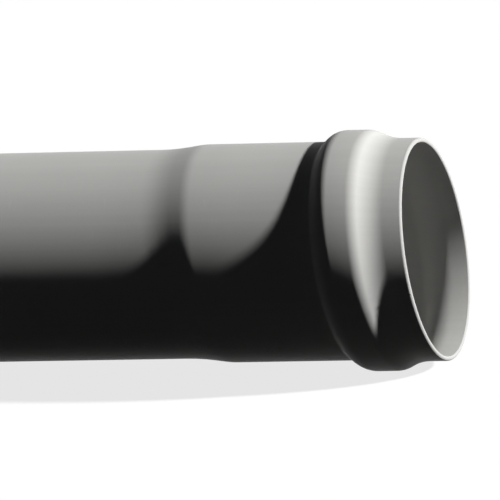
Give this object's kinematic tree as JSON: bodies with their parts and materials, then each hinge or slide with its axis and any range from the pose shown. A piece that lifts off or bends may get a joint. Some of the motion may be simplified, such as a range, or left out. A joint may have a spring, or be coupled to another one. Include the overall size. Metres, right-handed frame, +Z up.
{
  "type": "pvc pipe with ring-seal socket",
  "caption": "Straight grey PVC drain pipe with a chamfered spigot end and a belled ring-seal socket that takes the next pipe.",
  "frame": {"origin": "bottom centre of the pipe's box, on the floor it lies on; the pipe's axis is 91.9 mm above it", "axes": "+X along the pipe's axis towards the socket's mouth, +Z up"},
  "size_m": [1.1744, 0.1836, 0.1838],
  "materials": {
    "grey_pvc": "satin extruded skin"
  },
  "bodies": {
    "root": {"pvc_pipe": "grey_pvc"}
  },
  "joints": []
}
